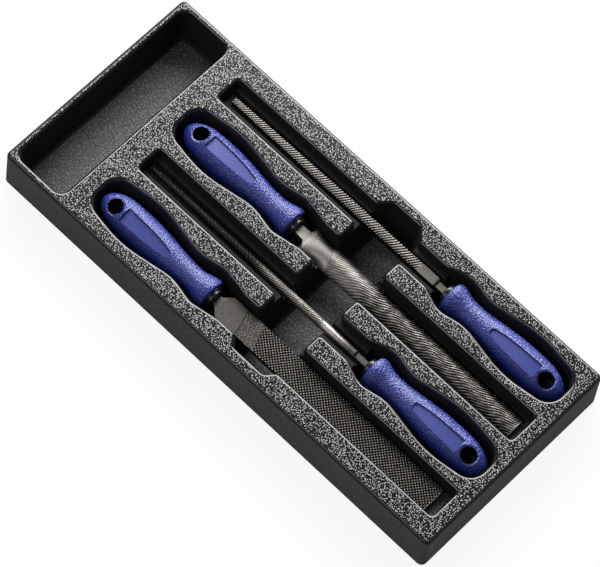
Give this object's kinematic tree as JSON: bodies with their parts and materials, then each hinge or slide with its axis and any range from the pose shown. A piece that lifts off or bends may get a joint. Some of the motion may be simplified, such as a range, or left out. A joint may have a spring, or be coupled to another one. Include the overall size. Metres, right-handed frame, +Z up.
{
  "type": "file set in moulded tool tray",
  "caption": "Black vacuum-formed tool tray with an open bin and shaped beds that hold hand files with blue hang-hole handles.",
  "frame": {"origin": "centre of the tray's base, on the plane it stands on", "axes": "+X along the tray from the open bin to the far end, +Y across the tray, +Z up"},
  "size_m": [0.406, 0.178, 0.0409],
  "materials": {
    "black_sheet": "grained satin",
    "file_steel": "cut teeth, dull",
    "black_collar": "gloss",
    "blue_core": "smooth satin",
    "blue_grip": "fine grain"
  },
  "bodies": {
    "tray": {"tray_shell": "black_sheet"},
    "flat_file": {"flat_file_blade": "file_steel", "flat_file_ferrule": "black_collar", "flat_file_core": "blue_core", "flat_file_grip": "blue_grip"},
    "round_file": {"round_file_blade": "file_steel", "round_file_ferrule": "black_collar", "round_file_core": "blue_core", "round_file_grip": "blue_grip"},
    "half_round_file": {"half_round_file_blade": "file_steel", "half_round_file_ferrule": "black_collar", "half_round_file_core": "blue_core", "half_round_file_grip": "blue_grip"},
    "square_file": {"square_file_blade": "file_steel", "square_file_ferrule": "black_collar", "square_file_core": "blue_core", "square_file_grip": "blue_grip"}
  },
  "joints": [
    {"name": "flat_file_lift", "type": "slide", "parent": "tray", "child": "flat_file", "axis": [0, 0, 1], "range_m": [0, 0.06]},
    {"name": "round_file_lift", "type": "slide", "parent": "tray", "child": "round_file", "axis": [0, 0, 1], "range_m": [0, 0.06]},
    {"name": "half_round_file_lift", "type": "slide", "parent": "tray", "child": "half_round_file", "axis": [0, 0, 1], "range_m": [0, 0.06]},
    {"name": "square_file_lift", "type": "slide", "parent": "tray", "child": "square_file", "axis": [0, 0, 1], "range_m": [0, 0.06]}
  ]
}
